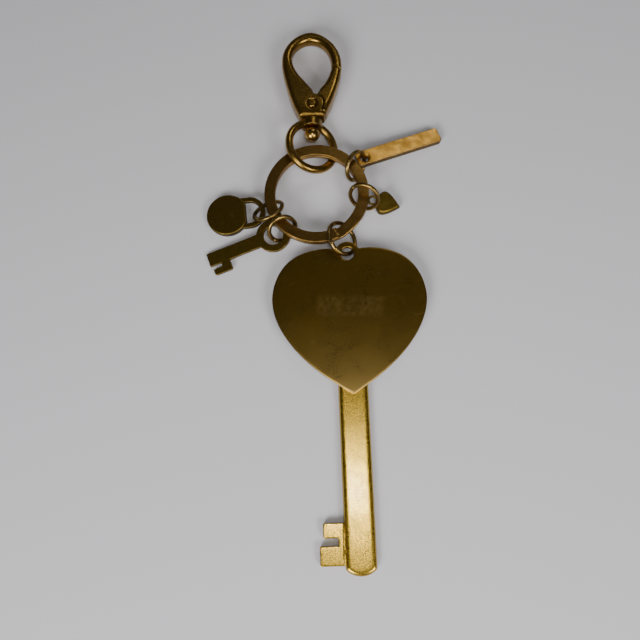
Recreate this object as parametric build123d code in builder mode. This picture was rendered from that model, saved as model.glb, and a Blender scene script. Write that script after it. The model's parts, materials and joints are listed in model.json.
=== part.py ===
from build123d import *
import os
from math import cos, radians, sin, sqrt

# A key-shaped pendant on a split ring, with a swivel clasp and four small charms, lying flat.
# Millimetres, +Z up, the table at z = 0 and the clasp towards +Y. The origin is on the table
# under the middle of the whole object. Places in the plan are measured from the split ring's
# centre, which stands at (RING_X, RING_Y).
RING_X = -2.46
RING_Y = 25.52

# Split ring: two turns of flat wire, joined by one short ramp
RING_OUTER_R = 15.0
RING_BAND = 3.1
RING_TURN_THICK = 1.06
RING_TURN_GAP = 0.08
RING_MID_Z = 4.2
RING_JOG_START = -62.0
RING_JOG_SPAN = 30.0
RING_END_GAP = 1.5

# Jump rings: wire diameter, butt gap, then centre, radius to the wire's centre, lean of the
# ring's plane in degrees, the direction its high side lies in, and where its butt gap is
JUMP_WIRE = 1.2
JUMP_GAP = 0.12
JUMP_RINGS = {
    "heart_key_jump_ring": ((7.22, -13.34, 3.62), 4.77, 39.0, -168.0, 300.0),
    "padlock_jump_ring": ((-13.90, -4.73, 3.60), 4.36, 43.1, -58.0, 210.0),
    "small_key_jump_ring": ((-9.77, -10.48, 3.92), 3.92, 57.2, 117.0, 120.0),
    "small_heart_jump_ring": ((13.61, -1.12, 4.58), 4.17, 63.6, 68.0, 60.0),
    "bar_jump_ring": ((11.34, 8.61, 4.47), 4.12, 65.1, 149.0, 240.0),
}

# Large key: flat heart plate soldered on the shank, bit soldered on the shank's left side
KEY_PLACE = (8.67, -17.9)
KEY_TURN = 1.95
SHANK_W = 8.2
SHANK_THICK = 2.6
SHANK_TOP_Y = -22.0
SHANK_END_Y = -85.9
SHANK_END_SAG = 1.7
SHANK_ROUND = 1.15
HEART_THICK = 1.2
HEART_HALF_W = 21.5
HEART_TIP_Y = -39.6
EYELET_OUTER_R = 3.6
EYELET_HOLE_R = 1.9
BIT_THICK = 1.8
BIT_BOTTOM_Z = 0.2

# Clasp: the eye turns on the pin, and the gate turns on the rivet
CLASP_X = -1.4
CLASP_Z = 4.25
EYE_Y = 14.95
EYE_R = 7.2
EYE_WIRE = 2.3
EYE_LEAN = 25.5
BOSS_R = 3.0
BOSS_START_Y = 20.9
BOSS_END_Y = 23.45
PIN_R = 1.1
PIN_CLEARANCE = 0.08
PIN_HEAD_R = 2.3
PIN_HEAD_Y = 18.95
PIN_END_Y = 24.45
HOOK_BASE_Y = 23.6
HOOK_EDGE_ROUND = 1.3
MOUTH_CORNER = (0.9, 31.3)
MOUTH_GATE_CORNER = (3.6, 34.4)
MOUTH_CORNER_ROUND = 0.8
PIVOT = (0.05, 27.5)
RIVET_R = 0.8
RIVET_CLEARANCE = 0.06
RIVET_HEAD_R = 1.25
RIVET_HEAD_H = 0.6
RIVET_RECESS_R = 1.55
RIVET_FLOOR = 2.45
CHEEK_R = 3.4
SLOT_R = 2.9
SLOT_HALF = 1.75
GATE_EAR_R = 2.55
GATE_EAR_OUT = 1.65
GATE_EAR_IN = 1.0
GATE_ARM_R = 3.52
GATE_TIP_R = 14.6
NOSE_R = 14.75
GATE_FROM = -34.5
GATE_TO = 64.0
SPRING_POCKET_R = 1.8
SPRING_WIRE = 0.34
SPRING_R = 1.15
SPRING_TURNS = 3.25
SPRING_PITCH = 0.4
SPRING_GATE_LEG = 0.95
SPRING_BODY_LEG = 2.35

# Tools for cutting, longer than anything they cut
THROUGH = 6.0

# Padlock charm
PADLOCK_PLACE = (-19.5, -4.75, 1.95)
PADLOCK_TURN = 5.8
PADLOCK_LEAN = 4.0
PADLOCK_BODY_R = 6.1
PADLOCK_BODY_X = -6.4
PADLOCK_TOP_X = -1.0
PADLOCK_THICK = 2.0
SHACKLE_OUTER_R = 4.65
SHACKLE_INNER_R = 3.25
SHACKLE_THICK = 1.3

# Small key charm
SMALL_KEY_PLACE = (-12.45, -11.75, 1.95)
SMALL_KEY_TURN = 201.0
SMALL_KEY_LEAN = 4.0
SMALL_KEY_THICK = 1.0
SMALL_KEY_LENGTH = 20.0
SMALL_KEY_SHAFT_W = 4.0
BOW_OUTER_R = 4.95
BOW_HOLE_R = 2.85

# Small puffed heart charm with a wire loop in its notch
SMALL_HEART_PLACE = (16.29, -1.1, 2.0)
SMALL_HEART_TURN = -14.0
SMALL_HEART_LEAN = 6.3
SMALL_HEART_THICK = 2.5
SMALL_LOOP_R = 1.27
SMALL_LOOP_WIRE = 0.65

# Bar charm
BAR_PLACE = (13.92, 11.36, 3.0)
BAR_TURN = 20.5
BAR_LEAN = 4.4
BAR_ROLL = -3.0
BAR_THICK = 2.0
BAR_W = 4.6
BAR_START = -2.4
BAR_END = 24.0
BAR_SIDE_SHIFT = 0.25
BAR_HOLE_R = 1.1
BAR_HOLE_EASE = 0.5


def place(x, y, z=0.0):
    """A point measured from the split ring's centre and the table."""
    return (RING_X + x, RING_Y + y, z)


def slanted(centre, turn, drop=0.0, roll=0.0):
    """A plane at a point; local +X is turned in plan, then slopes down by the drop angle."""
    return Plane(place(*centre)).rotated((roll, drop, turn), Extrinsic.XYZ)


def radial_section(frame, angle):
    """The upright plane through a frame's axis; local X points outwards, local Y along the axis."""
    return Plane(frame.location * Rot(0, 0, angle) * Rot(90, 0, 0))


def face_edges(builder, frame, which):
    """The edges of a plate's top face (-1) or bottom face (0), along its own frame's axis."""
    return builder.faces().sort_by(Axis(frame.origin, frame.z_dir))[which].edges()


def across_clasp(y):
    """A plane square to the clasp's long axis, at a distance along it."""
    return Plane(place(CLASP_X, y, CLASP_Z), x_dir=(1, 0, 0), z_dir=(0, 1, 0))


def pie_slice(radius, start, end):
    """A pie slice about the gate's pivot, as a sketch of its own."""
    arc_points = [
        (PIVOT[0] + radius * cos(radians(angle)), PIVOT[1] + radius * sin(radians(angle)))
        for angle in (start, (start + end) / 2, end)
    ]
    with BuildSketch() as wedge:
        with BuildLine():
            Line(PIVOT, arc_points[0])
            ThreePointArc(*arc_points)
            Line(arc_points[2], PIVOT)
        make_face()
    return wedge.sketch


# --- Split ring -------------------------------------------------------------------------
ring_frame = Plane(place(0, 0, RING_MID_Z))
ring_band_r = RING_OUTER_R - RING_BAND / 2
turn_offset = (RING_TURN_THICK + RING_TURN_GAP) / 2
turn_arc = 360 - RING_JOG_SPAN - RING_END_GAP
jog_end = RING_JOG_START + RING_JOG_SPAN


# Each turn as its start angle and height, then the ramp between them as a row of sections
ring_turns = ((jog_end + RING_END_GAP, -turn_offset), (jog_end, turn_offset))
ramp_steps = [step / 6 for step in range(7)]
ramp_sections = [
    (RING_JOG_START + RING_JOG_SPAN * t, turn_offset * (2 * t * t * (3 - 2 * t) - 1))
    for t in ramp_steps
]
with BuildPart() as split_ring:
    for turn_start, turn_height in ring_turns:
        with BuildSketch(radial_section(ring_frame, turn_start)):
            with Locations((ring_band_r, turn_height)):
                RectangleRounded(RING_BAND, RING_TURN_THICK, 0.25)
        revolve(axis=Axis(ring_frame.origin, ring_frame.z_dir), revolution_arc=turn_arc)
    for section_angle, section_height in ramp_sections:
        with BuildSketch(radial_section(ring_frame, section_angle)):
            with Locations((ring_band_r, section_height)):
                RectangleRounded(RING_BAND, RING_TURN_THICK, 0.25)
    loft()

# --- Jump rings -------------------------------------------------------------------------
jump_rings = {}
for ring_name, (ring_centre, ring_r, ring_lean, high_side, gap_at) in JUMP_RINGS.items():
    jump_frame = slanted(ring_centre, high_side, -ring_lean)
    with BuildPart() as jump_ring:
        with BuildSketch(radial_section(jump_frame, gap_at)):
            with Locations((ring_r, 0)):
                Circle(JUMP_WIRE / 2)
        revolve(
            axis=Axis(jump_frame.origin, jump_frame.z_dir),
            revolution_arc=360 - JUMP_GAP / radians(1) / ring_r,
        )
    jump_rings[ring_name] = jump_ring


# --- Large key --------------------------------------------------------------------------
def key_plane(z):
    """The large key's plane: origin on the eyelet's axis, local -Y pointing down the key."""
    return Plane(place(*KEY_PLACE, z)).rotated((0, 0, KEY_TURN))


with BuildPart() as heart_plate:
    with BuildSketch(key_plane(SHANK_THICK)):
        with BuildLine():
            side = Spline(
                (2.0, 1.3),
                (9.0, 1.45),
                (16.7, -1.9),
                (HEART_HALF_W, -12.8),
                (17.1, -24.9),
                (9.0, -33.4),
                (0, HEART_TIP_Y),
            )
            Line(side @ 1, (0, 0))
            Line((0, 0), side @ 0)
        make_face()
        mirror(about=Plane.YZ)
        Circle(EYELET_OUTER_R)
        Circle(EYELET_HOLE_R, mode=Mode.SUBTRACT)
    extrude(amount=HEART_THICK)
    chamfer(heart_plate.edges().group_by(Axis.Z)[-1], 0.15)
    chamfer(heart_plate.edges().group_by(Axis.Z)[0], 0.15)

with BuildPart() as key_shank:
    with BuildSketch(key_plane(0)):
        with BuildLine():
            outline = Polyline(
                (-SHANK_W / 2, SHANK_END_Y + SHANK_END_SAG),
                (-SHANK_W / 2, SHANK_TOP_Y),
                (SHANK_W / 2, SHANK_TOP_Y),
                (SHANK_W / 2, SHANK_END_Y + SHANK_END_SAG),
            )
            ThreePointArc(outline @ 1, (0, SHANK_END_Y), outline @ 0)
        make_face()
    extrude(amount=SHANK_THICK)
    fillet(key_shank.edges().filter_by(Axis.Z).group_by(Axis.Y)[0], 1.2)
    fillet(key_shank.edges().group_by(Axis.Z)[-1], SHANK_ROUND)

with BuildPart() as key_bit:
    with BuildSketch(key_plane(BIT_BOTTOM_Z)):
        with BuildLine():
            Polyline(
                (-SHANK_W / 2, -72.6),
                (-9.5, -72.6),
                (-9.5, -76.4),
                (-5.6, -76.4),
                (-5.6, -78.3),
                (-10.5, -78.3),
                (-10.5, -83.2),
                (-SHANK_W / 2, -83.2),
                close=True,
            )
        make_face()
    extrude(amount=BIT_THICK)
    tooth_corners = key_bit.edges().filter_by(
        lambda edge: key_plane(0).to_local_coords(edge.center()).X < -9
    )
    fillet(tooth_corners.filter_by(Axis.Z), 0.4)

# --- Clasp ------------------------------------------------------------------------------
clasp_plane = Plane(place(CLASP_X, 0, CLASP_Z))
clasp_axis = Axis(place(CLASP_X, 0, CLASP_Z), (0, 1, 0))
clasp_side = Plane(place(CLASP_X, 0, CLASP_Z), x_dir=(0, 1, 0), z_dir=(1, 0, 0))

eye_frame = slanted((CLASP_X, EYE_Y, CLASP_Z), 180, -EYE_LEAN)
with BuildPart() as swivel_eye:
    with BuildSketch(radial_section(eye_frame, 0)):
        with Locations((EYE_R, 0)):
            Circle(EYE_WIRE / 2)
    revolve(axis=Axis(eye_frame.origin, eye_frame.z_dir))
    with BuildSketch(across_clasp(BOSS_START_Y)):
        Circle(BOSS_R)
    extrude(amount=BOSS_END_Y - BOSS_START_Y)
    with BuildSketch(across_clasp(BOSS_START_Y - 1)):
        Circle(PIN_R + PIN_CLEARANCE)
    extrude(amount=BOSS_END_Y - BOSS_START_Y + 2, mode=Mode.SUBTRACT)
    boss_rim = swivel_eye.edges().filter_by(GeomType.CIRCLE).group_by(Axis.Y)[-1]
    chamfer(boss_rim.sort_by(SortBy.RADIUS)[-1], 0.35)

pin_shoulder_y = BOSS_START_Y - 0.1
pin_shoulder_r = sqrt(PIN_HEAD_R**2 - (pin_shoulder_y - PIN_HEAD_Y) ** 2)
with BuildPart() as swivel_pin:
    with BuildSketch(clasp_plane):
        with BuildLine():
            ThreePointArc(
                (0, PIN_HEAD_Y - PIN_HEAD_R),
                (PIN_HEAD_R, PIN_HEAD_Y),
                (pin_shoulder_r, pin_shoulder_y),
            )
            Polyline(
                (pin_shoulder_r, pin_shoulder_y),
                (PIN_R, pin_shoulder_y),
                (PIN_R, PIN_END_Y),
                (0, PIN_END_Y),
                (0, PIN_HEAD_Y - PIN_HEAD_R),
            )
        make_face()
    revolve(axis=clasp_axis)

# The hook and its gate are cut from one rounded casting
with BuildPart() as clasp_casting:
    with BuildSketch(clasp_plane.offset(-THROUGH)) as hook_outline:
        with BuildLine():
            shell = Spline(
                (-3.6, HOOK_BASE_Y),
                (-5.7, 27.8),
                (-7.7, 34.2),
                (-9.0, 40.5),
                (-8.95, 45.0),
                (-6.5, 49.7),
                (-0.5, 52.7),
                (5.5, 49.7),
                (8.3, 45.0),
                (8.85, 40.5),
                (8.0, 35.2),
                (5.8, 28.4),
                (3.6, HOOK_BASE_Y),
            )
            Line(shell @ 1, shell @ 0)
        make_face()
        with BuildLine():
            mouth = Spline(
                MOUTH_CORNER,
                (-3.7, 37.6),
                (-5.85, 42.0),
                (-5.7, 45.8),
                (-3.4, 48.5),
                (-0.4, 49.4),
                (2.6, 48.4),
                (4.7, 45.8),
                (5.75, 42.0),
                (5.3, 38.4),
                MOUTH_GATE_CORNER,
            )
            Line(mouth @ 1, mouth @ 0)
        make_face(mode=Mode.SUBTRACT)
        for corner in (MOUTH_CORNER, MOUTH_GATE_CORNER):
            fillet(hook_outline.vertices().sort_by_distance(corner)[0], MOUTH_CORNER_ROUND)
    extrude(amount=2 * THROUGH)
    with BuildSketch(clasp_side.offset(-2 * THROUGH)):
        with BuildLine():
            top = Spline((HOOK_BASE_Y, 2.6), (27.5, 2.95), (34.0, 2.6), (44.0, 2.05), (54.0, 1.75))
            Line(top @ 1, (54.0, 0))
            Line((54.0, 0), (HOOK_BASE_Y, 0))
            Line((HOOK_BASE_Y, 0), top @ 0)
        make_face()
        mirror(about=Plane.XZ)
    extrude(amount=4 * THROUGH, mode=Mode.INTERSECT)
    rim = clasp_casting.edges().filter_by(lambda e: abs(e.center().Z - CLASP_Z) > 1)
    fillet(rim, HOOK_EDGE_ROUND)

gate_room = pie_slice(NOSE_R, GATE_FROM - 1.5, GATE_TO + 22)
slot_room = pie_slice(NOSE_R - 2, GATE_FROM - 1.5, GATE_TO + 22)
gate_arm = pie_slice(GATE_TIP_R, GATE_FROM, GATE_TO)
gate_web = pie_slice(GATE_ARM_R + 0.4, GATE_FROM, GATE_TO)

with BuildPart() as hook_body:
    add(clasp_casting.part)
    with BuildSketch(clasp_plane):
        add(gate_room)
        with Locations(PIVOT):
            Circle(CHEEK_R, mode=Mode.SUBTRACT)
    extrude(amount=THROUGH, both=True, mode=Mode.SUBTRACT)
    with BuildSketch(clasp_plane):
        add(slot_room)
        with Locations(PIVOT):
            Circle(SLOT_R)
    extrude(amount=SLOT_HALF, both=True, mode=Mode.SUBTRACT)
    with BuildSketch(clasp_plane):
        with Locations(PIVOT):
            Circle(RIVET_R)
    extrude(amount=THROUGH, both=True, mode=Mode.SUBTRACT)
    for face_way in (1, -1):
        with BuildSketch(clasp_plane.offset(face_way * RIVET_FLOOR)):
            with Locations(PIVOT):
                Circle(RIVET_RECESS_R)
        extrude(amount=THROUGH * face_way, mode=Mode.SUBTRACT)
    with BuildSketch(across_clasp(HOOK_BASE_Y - 1)):
        Circle(PIN_R)
    extrude(amount=PIN_END_Y - HOOK_BASE_Y + 1, mode=Mode.SUBTRACT)

with BuildPart() as gate:
    add(clasp_casting.part)
    with BuildSketch(clasp_plane):
        add(gate_arm)
        with Locations(PIVOT):
            Circle(GATE_ARM_R, mode=Mode.SUBTRACT)
    extrude(amount=THROUGH, both=True, mode=Mode.INTERSECT)
    with BuildSketch(clasp_plane):
        add(gate_web)
        with Locations(PIVOT):
            Circle(GATE_EAR_R)
    extrude(amount=GATE_EAR_OUT, both=True)
    with BuildSketch(clasp_plane):
        with Locations(PIVOT):
            Circle(GATE_EAR_R + 0.2)
        add(gate_web, mode=Mode.SUBTRACT)
        with Locations(PIVOT):
            Circle(SPRING_POCKET_R)
    extrude(amount=GATE_EAR_IN, both=True, mode=Mode.SUBTRACT)
    with BuildSketch(clasp_plane):
        with Locations(PIVOT):
            Circle(RIVET_R + RIVET_CLEARANCE)
    extrude(amount=THROUGH, both=True, mode=Mode.SUBTRACT)

with BuildPart() as gate_rivet:
    with BuildSketch(clasp_plane.offset(-RIVET_FLOOR)):
        with Locations(PIVOT):
            Circle(RIVET_R)
    extrude(amount=2 * RIVET_FLOOR)
    for face_way in (1, -1):
        with BuildSketch(clasp_plane.offset(face_way * RIVET_FLOOR)):
            with Locations(PIVOT):
                Circle(RIVET_HEAD_R)
        extrude(amount=face_way * RIVET_HEAD_H)
    fillet(gate_rivet.edges().group_by(Axis.Z)[-1] + gate_rivet.edges().group_by(Axis.Z)[0], 0.5)

spring_height = SPRING_TURNS * SPRING_PITCH
spring_base = (CLASP_X + PIVOT[0], PIVOT[1], CLASP_Z - spring_height / 2)
with BuildPart() as gate_spring:
    with BuildLine(Plane(place(*spring_base))) as spring_path:
        coil = Helix(SPRING_PITCH, spring_height, SPRING_R)
        Line(coil @ 0, (coil @ 0) - (coil % 0) * SPRING_GATE_LEG)
        Line(coil @ 1, (coil @ 1) + (coil % 1) * SPRING_BODY_LEG)
    spring_wire = spring_path.wires()[0]
    with BuildSketch(Plane(spring_wire @ 0, z_dir=spring_wire % 0)):
        Circle(SPRING_WIRE / 2)
    sweep(path=spring_wire, is_frenet=True)

# --- Padlock charm ----------------------------------------------------------------------
padlock_frame = slanted(PADLOCK_PLACE, PADLOCK_TURN, -PADLOCK_LEAN)
with BuildPart() as padlock_body:
    with BuildSketch(padlock_frame.offset(-PADLOCK_THICK / 2)):
        with Locations((PADLOCK_BODY_X, 0)):
            Circle(PADLOCK_BODY_R)
        with Locations((PADLOCK_TOP_X, 0)):
            Rectangle(4, 20, align=(Align.MIN, Align.CENTER), mode=Mode.SUBTRACT)
    extrude(amount=PADLOCK_THICK)
    chamfer(face_edges(padlock_body, padlock_frame, -1), 0.2)

with BuildPart() as padlock_shackle:
    with BuildSketch(padlock_frame.offset(-SHACKLE_THICK / 2)):
        Circle(SHACKLE_OUTER_R)
        with Locations((PADLOCK_BODY_X / 2, 0)):
            Rectangle(-PADLOCK_BODY_X, 2 * SHACKLE_OUTER_R)
        Circle(SHACKLE_INNER_R, mode=Mode.SUBTRACT)
        with Locations((PADLOCK_BODY_X / 2, 0)):
            Rectangle(-PADLOCK_BODY_X, 2 * SHACKLE_INNER_R, mode=Mode.SUBTRACT)
        with Locations((PADLOCK_BODY_X, 0)):
            Circle(PADLOCK_BODY_R, mode=Mode.SUBTRACT)
        with Locations((PADLOCK_BODY_X, 0)):
            Rectangle(6, 20, mode=Mode.SUBTRACT)
    extrude(amount=SHACKLE_THICK)

# --- Small key charm --------------------------------------------------------------------
small_key_frame = slanted(SMALL_KEY_PLACE, SMALL_KEY_TURN, SMALL_KEY_LEAN)
with BuildPart() as small_key:
    with BuildSketch(small_key_frame.offset(-SMALL_KEY_THICK / 2)):
        with Locations((SMALL_KEY_LENGTH / 2, 0)):
            Rectangle(SMALL_KEY_LENGTH, SMALL_KEY_SHAFT_W)
        with Locations((16.75, 3.4)):
            RectangleRounded(5.4, 3.2, 0.5)
        with Locations((18.7, 2.55)):
            Rectangle(4.0, 1.1, mode=Mode.SUBTRACT)
        Circle(BOW_OUTER_R)
        Circle(BOW_HOLE_R, mode=Mode.SUBTRACT)
    extrude(amount=SMALL_KEY_THICK)

# --- Small heart charm ------------------------------------------------------------------
small_heart_frame = slanted(SMALL_HEART_PLACE, SMALL_HEART_TURN, SMALL_HEART_LEAN)
with BuildPart() as small_heart_loop:
    with BuildSketch(radial_section(small_heart_frame, 0)):
        with Locations((SMALL_LOOP_R, 0)):
            Circle(SMALL_LOOP_WIRE / 2)
    revolve(axis=Axis(small_heart_frame.origin, small_heart_frame.z_dir))

with BuildPart() as small_heart:
    with BuildSketch(small_heart_frame.offset(-SMALL_HEART_THICK / 2)):
        with BuildLine():
            lobe = Spline((1.3, 0), (1.35, 2.0), (2.7, 3.45), (5.2, 2.6), (8.1, 0))
            Line(lobe @ 1, lobe @ 0)
        make_face()
        mirror(about=Plane.XZ)
    extrude(amount=SMALL_HEART_THICK)
    fillet(
        face_edges(small_heart, small_heart_frame, -1) + face_edges(small_heart, small_heart_frame, 0),
        0.9,
    )
    add(small_heart_loop.part, mode=Mode.SUBTRACT)

# --- Bar charm --------------------------------------------------------------------------
bar_frame = slanted(BAR_PLACE, BAR_TURN, BAR_LEAN, BAR_ROLL)
with BuildPart() as bar_charm:
    with BuildSketch(bar_frame.offset(-BAR_THICK / 2)):
        with Locations(((BAR_START + BAR_END) / 2, BAR_SIDE_SHIFT)):
            RectangleRounded(BAR_END - BAR_START, BAR_W, 0.7)
        Circle(BAR_HOLE_R, mode=Mode.SUBTRACT)
    extrude(amount=BAR_THICK)
    chamfer(bar_charm.edges().filter_by(GeomType.CIRCLE).filter_by(lambda e: e.radius > 1), BAR_HOLE_EASE)

pieces = {
    "split_ring": split_ring,
    **jump_rings,
    "heart_plate": heart_plate,
    "key_shank": key_shank,
    "key_bit": key_bit,
    "swivel_eye": swivel_eye,
    "swivel_pin": swivel_pin,
    "hook_body": hook_body,
    "gate": gate,
    "gate_rivet": gate_rivet,
    "gate_spring": gate_spring,
    "padlock_body": padlock_body,
    "padlock_shackle": padlock_shackle,
    "small_key": small_key,
    "small_heart": small_heart,
    "small_heart_loop": small_heart_loop,
    "bar_charm": bar_charm,
}
os.makedirs("parts", exist_ok=True)
for piece_name, piece in pieces.items():
    piece.part.label = piece_name
    export_step(piece.part, f"parts/{piece_name}.step")

corners = [piece.part.bounding_box() for piece in pieces.values()]
print("low", [round(min(getattr(box.min, axis) for box in corners), 2) for axis in "XYZ"])
print("high", [round(max(getattr(box.max, axis) for box in corners), 2) for axis in "XYZ"])
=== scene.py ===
import json
import math
import random

import bmesh
import bpy
from mathutils import Matrix, Vector


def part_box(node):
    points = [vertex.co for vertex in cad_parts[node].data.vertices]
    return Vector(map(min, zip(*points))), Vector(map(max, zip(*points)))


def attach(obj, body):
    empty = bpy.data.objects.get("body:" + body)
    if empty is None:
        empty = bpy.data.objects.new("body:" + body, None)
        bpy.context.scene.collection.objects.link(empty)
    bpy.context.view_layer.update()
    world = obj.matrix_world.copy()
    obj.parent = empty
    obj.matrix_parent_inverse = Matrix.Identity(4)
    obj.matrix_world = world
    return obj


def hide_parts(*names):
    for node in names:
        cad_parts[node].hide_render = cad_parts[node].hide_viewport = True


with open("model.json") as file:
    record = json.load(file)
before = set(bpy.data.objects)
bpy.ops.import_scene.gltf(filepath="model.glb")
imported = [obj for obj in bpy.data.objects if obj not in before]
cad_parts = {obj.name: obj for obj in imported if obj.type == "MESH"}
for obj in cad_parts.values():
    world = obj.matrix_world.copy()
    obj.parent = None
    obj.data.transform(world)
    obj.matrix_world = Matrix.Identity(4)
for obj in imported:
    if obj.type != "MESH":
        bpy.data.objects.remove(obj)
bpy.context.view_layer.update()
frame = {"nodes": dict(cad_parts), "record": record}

MM = 0.001
GRAIN_DEPTH = 0.08 * MM
WELD = 0.002 * MM
COAT_ROUGHNESS = 0.12
STRAIGHT_SCRATCH = 110
# Painted shade for upright walls, and a painted highlight for the heart's tip wall
WALL_SHADE = (0.030, 0.019, 0.006)
TIP_WALL_PAINTED_HIGHLIGHT = (0.95, 0.72, 0.42)
FLOOR_HALF = 3.0
CAMERA_PLACE = Vector((1.085, -52.317, 175)) * MM
CAMERA_RIGHT = Vector((0.99988, 0.0, -0.0152))
CAMERA_FORWARD = Vector((-0.01479, 0.23108, -0.97283)).normalized()
CAMERA_LENS = CAMERA_SENSOR = 36
random.seed(7)

node_body = {node: body for body, nodes in frame["record"]["behaviour"]["bodies"].items() for node in nodes}
node_slot = {part["node"]: part["material_slot"] for part in frame["record"]["subparts"]}
heart_low, heart_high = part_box("heart_plate")


# --- Materials ---
def node_of(tree, kind, **settings):
    """A new shader node with its properties and its unlinked input values set."""
    node = tree.nodes.new(kind)
    for key, value in settings.items():
        if key.startswith("in_"):
            node.inputs[int(key[3:])].default_value = value
        else:
            setattr(node, key, value)
    return node


def noise(tree, coords, scale, detail=4.0, rough=0.55, distortion=0.0):
    """Noise texture output on the given coordinates."""
    node = tree.nodes.new("ShaderNodeTexNoise")
    node.inputs["Scale"].default_value = scale
    node.inputs["Detail"].default_value = detail
    node.inputs["Roughness"].default_value = rough
    node.inputs["Distortion"].default_value = distortion
    tree.links.new(coords, node.inputs["Vector"])
    return node.outputs["Fac"]


def ranged(tree, value, low_in, high_in, low_out=0.0, high_out=1.0):
    """A value mapped from one range to another and clamped."""
    node = node_of(tree, "ShaderNodeMapRange", in_1=low_in, in_2=high_in, in_3=low_out, in_4=high_out)
    tree.links.new(value, node.inputs[0])
    return node.outputs[0]


def mixed(tree, factor, a, b):
    """Colour a to colour b by the factor; each may be a colour or an output."""
    node = node_of(tree, "ShaderNodeMix", data_type="RGBA")
    tree.links.new(factor, node.inputs["Factor"])
    for socket, value in ((node.inputs[6], a), (node.inputs[7], b)):
        if isinstance(value, tuple):
            socket.default_value = (*value, 1.0)
        else:
            tree.links.new(value, socket)
    return node.outputs[2]


def math_node(tree, operation, a, b):
    """One arithmetic step on outputs or numbers."""
    node = node_of(tree, "ShaderNodeMath", operation=operation)
    for socket, value in zip(node.inputs, (a, b)):
        if isinstance(value, (int, float)):
            socket.default_value = value
        else:
            tree.links.new(value, socket)
    return node.outputs[0]


def stretched(tree, coords, scale, angle):
    """Coordinates squeezed along one direction in plan, for lines and brushing."""
    node = node_of(tree, "ShaderNodeMapping", vector_type="TEXTURE")
    node.inputs["Rotation"].default_value = (0, 0, math.radians(angle))
    node.inputs["Scale"].default_value = tuple(1 / value for value in scale)
    tree.links.new(coords, node.inputs["Vector"])
    return node.outputs[0]


def scratches(tree, coords, angle, width, rarity):
    """Thin scattered lines running one way in plan."""
    squeezed = stretched(tree, coords, (width, STRAIGHT_SCRATCH, STRAIGHT_SCRATCH), angle)
    lines = noise(tree, squeezed, 1.0, 1.0, 0.5)
    thin = ranged(tree, lines, rarity, rarity + 0.05)
    return math_node(tree, "MULTIPLY", thin, ranged(tree, noise(tree, coords, 240, 2.0), 0.55, 0.7))


def antique(name, dark, mid, bright, rough, patina=260.0, grain=3500.0, bump=0.12, wear=0.8,
            layers=None, edges=True, speckle=0.12, sides=0.0, wall_shade=None, lacquer=0.0):
    """Aged metal: clouded patina between two tones, polished high edges, grain and scratches.

    rough is the roughness of the mid tone and of the dark tone, sides paints shade onto the upright walls,
    and lacquer is the weight of a clear coat over the metal.
    """
    material = bpy.data.materials.new(name)
    material.use_nodes = True
    tree = material.node_tree
    shader = tree.nodes["Principled BSDF"]
    shader.inputs["Metallic"].default_value = 1.0
    shader.inputs["Coat Weight"].default_value = lacquer
    shader.inputs["Coat Roughness"].default_value = COAT_ROUGHNESS
    coords = tree.nodes.new("ShaderNodeTexCoord").outputs["Object"]
    cloud = ranged(tree, noise(tree, coords, patina, 5.0, 0.6, 0.4), 0.35, 0.68)
    colour = mixed(tree, cloud, dark, mid)
    rubbed = ranged(tree, noise(tree, coords, patina * 3, 4.0), 0.3, 0.6, 0.35, wear)
    if edges:
        pointed = ranged(tree, tree.nodes.new("ShaderNodeNewGeometry").outputs["Pointiness"], 0.515, 0.58)
        worn = math_node(tree, "MULTIPLY", pointed, rubbed)
    else:
        worn = ranged(tree, rubbed, 0.0, 1.0, 0.0, 0.12)
    fine = noise(tree, coords, grain, 6.0, 0.7)
    lines_a = scratches(tree, coords, -72, 3000, 0.62)
    lines_b = scratches(tree, coords, 38, 3600, 0.63)
    lines = math_node(tree, "MAXIMUM", lines_a, lines_b)
    roughness = math_node(
        tree, "ADD",
        ranged(tree, cloud, 0.0, 1.0, rough[1], rough[0]),
        ranged(tree, fine, 0.3, 0.7, -0.05, 0.07),
    )
    if layers:
        colour, roughness = layers(tree, coords, colour, roughness)
    colour = mixed(tree, ranged(tree, fine, 0.52, 0.72, 0.0, speckle), colour, bright)
    colour = mixed(tree, worn, colour, bright)
    colour = mixed(tree, ranged(tree, lines, 0.0, 1.0, 0.0, 0.22), colour, bright)
    # Painted shade: upright walls are darkened towards a dark colour, more the more upright they stand
    if sides:
        split = tree.nodes.new("ShaderNodeSeparateXYZ")
        tree.links.new(tree.nodes.new("ShaderNodeTexCoord").outputs["Normal"], split.inputs[0])
        wall = ranged(tree, split.outputs[2], 0.75, 0.30, 0.0, sides)
        shade = wall_shade(tree, coords) if wall_shade else WALL_SHADE
        colour = mixed(tree, wall, colour, shade)
    height = math_node(tree, "SUBTRACT", fine, math_node(tree, "MULTIPLY", lines, 0.5))
    bumps = node_of(tree, "ShaderNodeBump")
    bumps.inputs["Strength"].default_value = bump
    bumps.inputs["Distance"].default_value = GRAIN_DEPTH
    tree.links.new(height, bumps.inputs["Height"])
    tree.links.new(colour, shader.inputs["Base Color"])
    tree.links.new(roughness, shader.inputs["Roughness"])
    tree.links.new(bumps.outputs["Normal"], shader.inputs["Normal"])
    return material


def soft_band(tree, value, start, end, edge):
    """One between start and end, fading to zero over the edge's width at both ends."""
    return math_node(
        tree, "MULTIPLY", ranged(tree, value, start, start + edge), ranged(tree, value, end, end - edge)
    )


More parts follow.
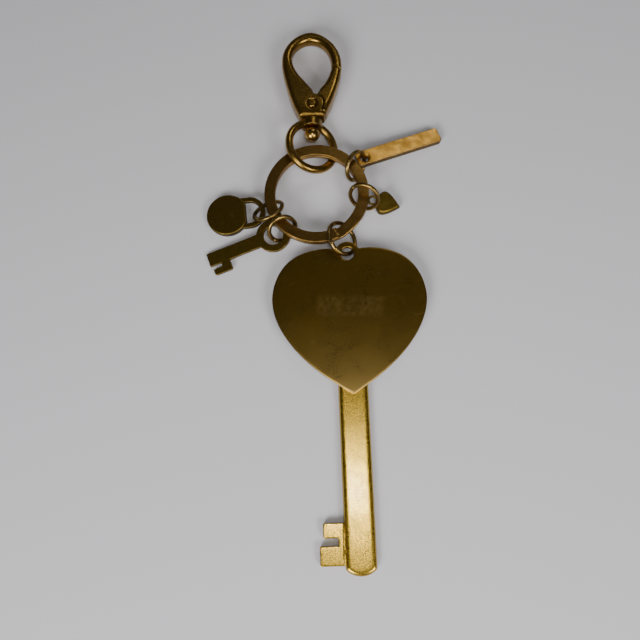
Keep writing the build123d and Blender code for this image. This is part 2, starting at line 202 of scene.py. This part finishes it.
def heart_layers(tree, coords, colour, roughness):
    """The heart's face: dark towards the lobes, gold towards the tip as a painted highlight, with a faint
    rubbed rectangle.
    """
    split = tree.nodes.new("ShaderNodeSeparateXYZ")
    tree.links.new(coords, split.inputs[0])
    x, y = split.outputs[0], split.outputs[1]
    length = heart_high.y - heart_low.y
    # Painted highlight: the face turns gold towards the tip, broken up by noise
    towards_tip = ranged(tree, y, heart_high.y - 0.42 * length, heart_low.y + 0.04 * length)
    broken = ranged(tree, noise(tree, coords, 90, 4.0), 0.3, 0.6, 0.75, 1.0)
    tip_painted_highlight = math_node(tree, "MULTIPLY", towards_tip, broken)
    colour = mixed(tree, tip_painted_highlight, colour, (0.30, 0.20, 0.055))
    centre_x = (heart_low.x + heart_high.x) / 2
    patch = math_node(
        tree, "MULTIPLY",
        soft_band(tree, x, centre_x - 9.6 * MM, centre_x + 10.0 * MM, 1.4 * MM),
        soft_band(tree, y, heart_high.y - 22.22 * MM, heart_high.y - 15.42 * MM, 1.2 * MM),
    )
    rubs = ranged(tree, noise(tree, coords, 900, 6.0, 0.7), 0.4, 0.62, 0.0, 0.42)
    patch = math_node(tree, "MULTIPLY", patch, rubs)
    colour = mixed(tree, patch, colour, (0.33, 0.22, 0.09))
    roughness = math_node(tree, "ADD", roughness, math_node(tree, "MULTIPLY", patch, 0.12))
    return colour, roughness


def heart_wall_painted_light(tree, coords):
    """The heart's wall: painted shade, with a painted highlight at the tip."""
    split = tree.nodes.new("ShaderNodeSeparateXYZ")
    tree.links.new(coords, split.inputs[0])
    # Painted highlight on the wall at the tip, painted shade on the rest of the wall
    at_tip = ranged(tree, split.outputs[1], heart_low.y + 4.2 * MM, heart_low.y + 3.4 * MM)
    return mixed(tree, at_tip, WALL_SHADE, TIP_WALL_PAINTED_HIGHLIGHT)


def grained(tree, coords, colour, roughness):
    """Satin brushing across a broad face, in short irregular strokes."""
    strokes = noise(tree, stretched(tree, coords, (2600, 4200, 2600), 12), 1.0, 5.0, 0.7)
    colour = mixed(tree, ranged(tree, strokes, 0.38, 0.66, 0.0, 0.45), colour, (0.80, 0.53, 0.085))
    roughness = math_node(tree, "ADD", roughness, ranged(tree, strokes, 0.3, 0.7, -0.05, 0.07))
    return colour, roughness


materials = {
    "heart_face": antique(
        "heart_face", (0.17, 0.098, 0.010), (0.25, 0.155, 0.024), (0.62, 0.42, 0.13), (0.27, 0.35),
        patina=140.0, grain=4200.0, bump=0.06, layers=heart_layers, speckle=0.3,
        sides=0.85, wall_shade=heart_wall_painted_light),
    "satin_gold": antique(
        "satin_gold", (0.50, 0.315, 0.030), (0.58, 0.37, 0.040), (0.95, 0.66, 0.16), (0.23, 0.27),
        patina=300.0, grain=6200.0, bump=0.10, layers=grained, speckle=0.45, sides=0.45, lacquer=0.35),
    "ring_brass": antique(
        "ring_brass", (0.17, 0.085, 0.014), (0.27, 0.15, 0.034), (0.80, 0.56, 0.22), (0.26, 0.36),
        patina=320.0, bump=0.05, edges=False),
    "jump_brass": antique(
        "jump_brass", (0.15, 0.095, 0.022), (0.30, 0.19, 0.05), (0.80, 0.60, 0.27), (0.22, 0.34),
        patina=500.0, bump=0.05, edges=False),
    "clasp_brass": antique(
        "clasp_brass", (0.20, 0.115, 0.022), (0.36, 0.22, 0.05), (0.85, 0.62, 0.26), (0.22, 0.30),
        patina=150.0, grain=5200.0, bump=0.02, wear=0.5),
    "charm_brass": antique(
        "charm_brass", (0.125, 0.081, 0.011), (0.22, 0.147, 0.028), (0.60, 0.42, 0.14), (0.34, 0.46),
        patina=330.0, bump=0.08, sides=0.55),
    "copper_gold": antique(
        "copper_gold", (0.40, 0.19, 0.035), (0.66, 0.35, 0.075), (0.95, 0.70, 0.32), (0.30, 0.42),
        patina=300.0, bump=0.12, layers=grained, sides=0.8),
    "spring_steel": antique(
        "spring_steel", (0.22, 0.21, 0.20), (0.42, 0.41, 0.39), (0.75, 0.74, 0.72), (0.28, 0.36),
        patina=900.0, bump=0.05, edges=False),
}


# --- Pieces ---
def finished_copy(node, voxel=0.0, soften=0, angle=32):
    """A CAD node's own shape, welded and shaded smooth, with its edges eased where voxel is given in mm."""
    mesh = frame["nodes"][node].data.copy()
    mesh.name = node + "_finished"
    shape = bmesh.new()
    shape.from_mesh(mesh)
    bmesh.ops.remove_doubles(shape, verts=shape.verts, dist=WELD)
    shape.to_mesh(mesh)
    shape.free()
    mesh.materials.clear()
    mesh.materials.append(materials[node_slot[node]])
    piece = bpy.data.objects.new(node + "_finished", mesh)
    bpy.context.scene.collection.objects.link(piece)
    for polygon in mesh.polygons:
        polygon.use_smooth = True
    if voxel:
        remesh = piece.modifiers.new("skin", "REMESH")
        remesh.mode = "VOXEL"
        remesh.voxel_size = voxel * MM
        remesh.use_smooth_shade = True
        rounding = piece.modifiers.new("soften", "SMOOTH")
        rounding.factor = 0.6
        rounding.iterations = soften
    else:
        mesh.set_sharp_from_angle(angle=math.radians(angle))
        weighted = piece.modifiers.new("weighted", "WEIGHTED_NORMAL")
        weighted.keep_sharp = True
        weighted.weight = 100
    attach(piece, node_body[node])
    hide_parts(node)
    return piece


# Skin size in mm and smoothing steps, for the pieces whose edges are eased
FINISH = {
    "heart_plate": {"voxel": 0.17, "soften": 6}, "key_shank": {"voxel": 0.17, "soften": 30},
    "key_bit": {"voxel": 0.12, "soften": 8}, "bar_charm": {"voxel": 0.12, "soften": 8},
    "small_key": {"voxel": 0.1, "soften": 5}, "padlock_body": {"voxel": 0.12, "soften": 6},
    "padlock_shackle": {"voxel": 0.09, "soften": 8}, "small_heart": {"voxel": 0.08, "soften": 8},
    "hook_body": {"voxel": 0.11, "soften": 24}, "gate": {"voxel": 0.1, "soften": 22},
    "swivel_eye": {"voxel": 0.1, "soften": 6}, "gate_rivet": {"voxel": 0.06, "soften": 4},
}
for node in frame["nodes"]:
    finished_copy(node, **FINISH.get(node, {}))


def bead(name, start, end, radius, slot, body, steps=44, around=10):
    """A slightly uneven solder bead between two points."""
    along = end - start
    side = along.cross(Vector((0, 0, 1))).normalized()
    rise = side.cross(along).normalized()
    points = []
    for i in range(steps + 1):
        t = i / steps
        taper = math.sqrt(max(0.0, 1 - (2 * t - 1) ** 6)) + 0.02
        size = radius * taper * random.uniform(0.88, 1.12)
        centre = start + along * t + side * random.uniform(-0.06, 0.06) * radius
        for j in range(around):
            turn = 2 * math.pi * j / around
            points.append(centre + side * size * math.cos(turn) + rise * size * math.sin(turn))
    faces = [
        tuple(ring * around + spot % around for ring, spot in ((i, j), (i, j + 1), (i + 1, j + 1), (i + 1, j)))
        for i in range(steps) for j in range(around)
    ]
    faces.append(tuple(reversed(range(around))))
    faces.append(tuple(range(steps * around, (steps + 1) * around)))
    mesh = bpy.data.meshes.new(name)
    mesh.from_pydata([tuple(point) for point in points], [], faces)
    mesh.materials.append(materials[slot])
    for polygon in mesh.polygons:
        polygon.use_smooth = True
    piece = bpy.data.objects.new(name, mesh)
    bpy.context.scene.collection.objects.link(piece)
    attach(piece, body)
    return piece


# The bit is soldered along the shank's left side
bit_low, bit_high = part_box("key_bit")
bead_z = bit_high.z - 0.1 * MM
bead_top = Vector((bit_high.x - 0.40 * MM, bit_high.y - 0.5 * MM, bead_z))
bead_bottom = Vector((bit_high.x - 0.02 * MM, bit_low.y + 0.4 * MM, bead_z))
bead("bit_solder", bead_top, bead_bottom, 0.42 * MM, "satin_gold", "key")

# --- Floor, light, camera ---
floor_mesh = bpy.data.meshes.new("floor")
floor_corners = [(x * FLOOR_HALF, y * FLOOR_HALF, 0) for x, y in ((-1, -1), (1, -1), (1, 1), (-1, 1))]
floor_mesh.from_pydata(floor_corners, [], [(0, 1, 2, 3)])
floor = bpy.data.objects.new("floor", floor_mesh)
bpy.context.scene.collection.objects.link(floor)
floor_material = bpy.data.materials.new("pale_floor")
floor_material.use_nodes = True
floor_shader = floor_material.node_tree.nodes["Principled BSDF"]
floor_shader.inputs["Base Color"].default_value = (0.78, 0.77, 0.80, 1.0)
floor_shader.inputs["Roughness"].default_value = 0.8
floor_mesh.materials.append(floor_material)

world = bpy.data.worlds.new("studio")
world.use_nodes = True
backdrop = world.node_tree.nodes["Background"]
backdrop.inputs["Color"].default_value = (1.0, 0.985, 0.96, 1.0)
backdrop.inputs["Strength"].default_value = 0.06
bpy.context.scene.world = world


def panel(name, place, aim, size, power, colour=(1.0, 0.98, 0.95)):
    """A square soft light at a place, facing a point."""
    data = bpy.data.lights.new(name, "AREA")
    data.shape = "SQUARE"
    data.size = size
    data.energy = power
    data.color = colour
    light = bpy.data.objects.new(name, data)
    bpy.context.scene.collection.objects.link(light)
    light.location = place
    light.rotation_euler = (Vector(aim) - Vector(place)).to_track_quat("-Z", "Y").to_euler()
    return light


panel("near_camera", (0.013, -0.064, 0.24), (0.0, -0.04, 0.0), 0.022, 0.10)
panel("low_left", (-0.24, -0.46, 0.34), (0.0, -0.08, 0), 0.26, 2.7, (1.0, 0.99, 1.0))
panel("low_right", (0.30, -0.36, 0.36), (0.0, -0.08, 0), 0.24, 1.6, (1.0, 0.99, 1.0))
panel("far_right", (0.10, 0.28, 0.31), (0.02, 0.05, 0), 0.10, 0.12)

camera_data = bpy.data.cameras.new("camera")
camera_data.lens = CAMERA_LENS
camera_data.sensor_width = CAMERA_SENSOR
camera_data.clip_start = 0.005
camera = bpy.data.objects.new("camera", camera_data)
bpy.context.scene.collection.objects.link(camera)
up = CAMERA_RIGHT.cross(CAMERA_FORWARD).normalized()
turn = Matrix((CAMERA_FORWARD.cross(up), up, -CAMERA_FORWARD)).transposed().to_4x4()
camera.matrix_world = Matrix.Translation(CAMERA_PLACE) @ turn
bpy.context.scene.camera = camera
